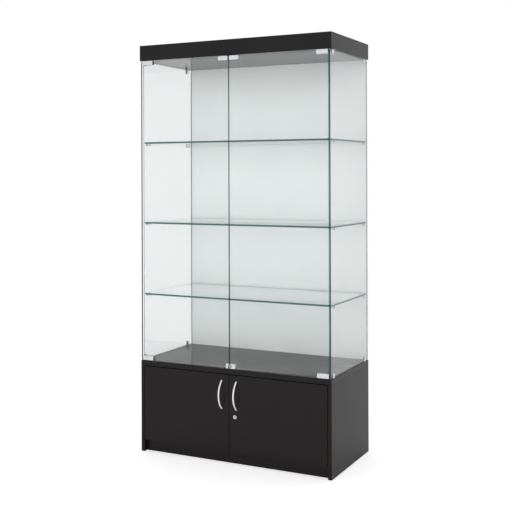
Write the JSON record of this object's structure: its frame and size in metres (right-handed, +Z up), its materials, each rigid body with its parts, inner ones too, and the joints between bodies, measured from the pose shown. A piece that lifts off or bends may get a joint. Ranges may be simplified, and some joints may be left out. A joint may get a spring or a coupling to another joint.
{
  "type": "china cabinet with glass doors",
  "caption": "Upright showcase with hinged frameless glass doors, glass sides and shelves and a white back, on a black cupboard with two hinged doors, under a black canopy.",
  "frame": {"origin": "on the floor under the middle of the bounding box, bow handles included", "axes": "+X to the right of someone facing the doors, +Y from the doors to the back, +Z up"},
  "size_m": [1.008, 0.514, 1.98],
  "materials": {
    "black_laminate": "black melamine-faced board, satin",
    "white_laminate": "white melamine-faced board, satin",
    "clear_glass": "clear toughened float glass with polished green edges",
    "chrome": "polished chrome plate",
    "satin_metal": "satin brushed",
    "nickel": "nickel plate"
  },
  "bodies": {
    "carcass": {"side_panel_left": "black_laminate", "side_panel_right": "black_laminate", "bottom_panel": "black_laminate", "toe_kick": "black_laminate", "cupboard_back": "black_laminate", "deck": "black_laminate", "canopy_frame": "black_laminate", "canopy_ceiling": "black_laminate", "canopy_lid": "black_laminate", "back_panel": "white_laminate", "side_glass_left": "clear_glass", "side_glass_right": "clear_glass", "side_clamp_left_front_lower": "chrome", "side_clamp_left_front_upper": "chrome", "side_clamp_left_rear_lower": "chrome", "side_clamp_left_rear_upper": "chrome", "side_clamp_right_front_lower": "chrome", "side_clamp_right_front_upper": "chrome", "side_clamp_right_rear_lower": "chrome", "side_clamp_right_rear_upper": "chrome", "glass_shelf_1": "clear_glass", "shelf_stud_1_left_front": "chrome", "shelf_stud_1_left_rear": "chrome", "shelf_stud_1_right_front": "chrome", "shelf_stud_1_right_rear": "chrome", "glass_shelf_2": "clear_glass", "shelf_stud_2_left_front": "chrome", "shelf_stud_2_left_rear": "chrome", "shelf_stud_2_right_front": "chrome", "shelf_stud_2_right_rear": "chrome", "glass_shelf_3": "clear_glass", "shelf_stud_3_left_front": "chrome", "shelf_stud_3_left_rear": "chrome", "shelf_stud_3_right_front": "chrome", "shelf_stud_3_right_rear": "chrome", "hinge_arm_left_lower": "nickel", "hinge_arm_left_upper": "nickel", "hinge_arm_right_lower": "nickel", "hinge_arm_right_upper": "nickel"},
    "left_glass_leaf": {"glass_door_left": "clear_glass", "door_pivot_left_lower": "chrome", "door_pivot_left_upper": "chrome", "catch_plate_left": "chrome", "glass_lock_keeper": "chrome"},
    "right_glass_leaf": {"glass_door_right": "clear_glass", "door_pivot_right_lower": "chrome", "door_pivot_right_upper": "chrome", "catch_plate_right": "chrome", "glass_lock_housing": "chrome"},
    "glass_lock_core": {"glass_lock_plug": "nickel"},
    "left_cupboard_leaf": {"cupboard_door_left": "black_laminate", "bow_handle_left": "satin_metal", "hinge_cup_left_lower": "nickel", "hinge_cup_left_upper": "nickel"},
    "right_cupboard_leaf": {"cupboard_door_right": "black_laminate", "bow_handle_right": "satin_metal", "hinge_cup_right_lower": "nickel", "hinge_cup_right_upper": "nickel", "cam_lock_barrel": "chrome"},
    "cam_lock_core": {"cam_lock_plug": "nickel"}
  },
  "joints": [
    {"name": "left_glass_hinge", "type": "hinge", "parent": "carcass", "child": "left_glass_leaf", "pos_m": [-0.481, -0.214, 0.445], "axis": [0, 0, 1], "range_deg": [-100, 0]},
    {"name": "right_glass_hinge", "type": "hinge", "parent": "carcass", "child": "right_glass_leaf", "pos_m": [0.481, -0.214, 0.445], "axis": [0, 0, 1], "range_deg": [0, 100]},
    {"name": "glass_lock_turn", "type": "hinge", "parent": "right_glass_leaf", "child": "glass_lock_core", "pos_m": [-0.009, -0.223, 0.4565], "axis": [0, 1, 0], "range_deg": [0, 90]},
    {"name": "left_cupboard_hinge", "type": "hinge", "parent": "carcass", "child": "left_cupboard_leaf", "pos_m": [-0.479, -0.223, 0.2375], "axis": [0, 0, 1], "range_deg": [-105, 0]},
    {"name": "right_cupboard_hinge", "type": "hinge", "parent": "carcass", "child": "right_cupboard_leaf", "pos_m": [0.479, -0.223, 0.2375], "axis": [0, 0, 1], "range_deg": [0, 105]},
    {"name": "cam_lock_turn", "type": "hinge", "parent": "right_cupboard_leaf", "child": "cam_lock_core", "pos_m": [0.018, -0.223, 0.224], "axis": [0, 1, 0], "range_deg": [0, 90]}
  ]
}
